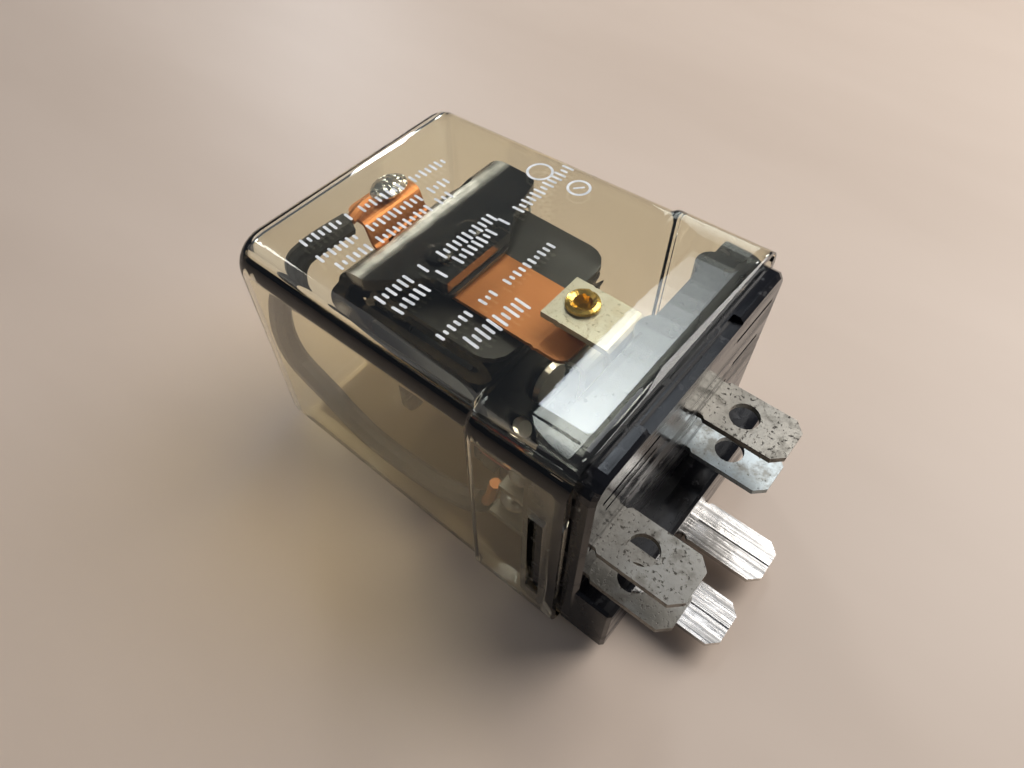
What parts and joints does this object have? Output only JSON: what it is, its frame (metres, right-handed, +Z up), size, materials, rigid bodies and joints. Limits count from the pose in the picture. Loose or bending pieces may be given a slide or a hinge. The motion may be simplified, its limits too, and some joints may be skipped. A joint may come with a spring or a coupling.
{
  "type": "power relay",
  "caption": "Plug-in power relay in a clear dust cover, with a swinging armature, changeover contacts and flat quick-connect tabs on a black base.",
  "frame": {"origin": "under the middle of the overall length and width, on the face the relay rests on", "axes": "+X along the length, towards the terminals; +Y across the width; +Z up through the marked front face"},
  "size_m": [0.0654, 0.0388, 0.0357],
  "materials": {
    "clear_cover": "clear polycarbonate, slightly yellowed, with fine scratches",
    "base_moulding": "black phenolic moulding",
    "dull_tin": "dull tinned brass strip with dark specks",
    "bright_tin": "bright tin, solder or silver",
    "frame_steel": "dark glossy plated steel",
    "bare_steel": "bare steel",
    "fibre_sheet": "black fibre sheet and tape",
    "copper": "copper strip and wire",
    "brass": "brass eyelet with a silver face",
    "sleeve": "black woven sleeve"
  },
  "bodies": {
    "case": {"dust_cover": "clear_cover", "base_block": "base_moulding", "no_contact_terminal": "dull_tin", "nc_contact_terminal": "dull_tin", "common_terminal": "dull_tin", "tie_terminal": "dull_tin", "coil_terminal_1": "bright_tin", "coil_terminal_2": "bright_tin", "frame": "frame_steel", "frame_insulator": "fibre_sheet", "core": "bare_steel", "shading_ring": "copper", "bobbin": "base_moulding", "winding": "copper", "coil_wrap": "fibre_sheet", "coil_lead_1": "copper", "coil_lead_2": "copper", "no_fixed_contact": "brass", "nc_fixed_contact": "bright_tin", "return_spring": "bare_steel", "pigtail_sleeve": "sleeve", "pigtail_braid_common": "copper", "pigtail_braid_tail": "copper", "common_solder": "bright_tin", "tie_solder": "bright_tin"},
    "clapper": {"armature": "frame_steel", "blade_insulator": "fibre_sheet", "movable_blade": "copper", "blade_rivet_1": "bare_steel", "blade_rivet_2": "bare_steel", "moving_contact": "bright_tin", "tail_solder": "bright_tin"}
  },
  "joints": [
    {"name": "armature_hinge", "type": "hinge", "parent": "case", "child": "clapper", "pos_m": [-0.0217, 0.0024, 0.0254], "axis": [0, -1, 0], "range_deg": [0, 2.2], "stiffness_Nm_per_rad": 0.03, "springref_deg": -5.73, "deforming": ["return_spring"]}
  ]
}
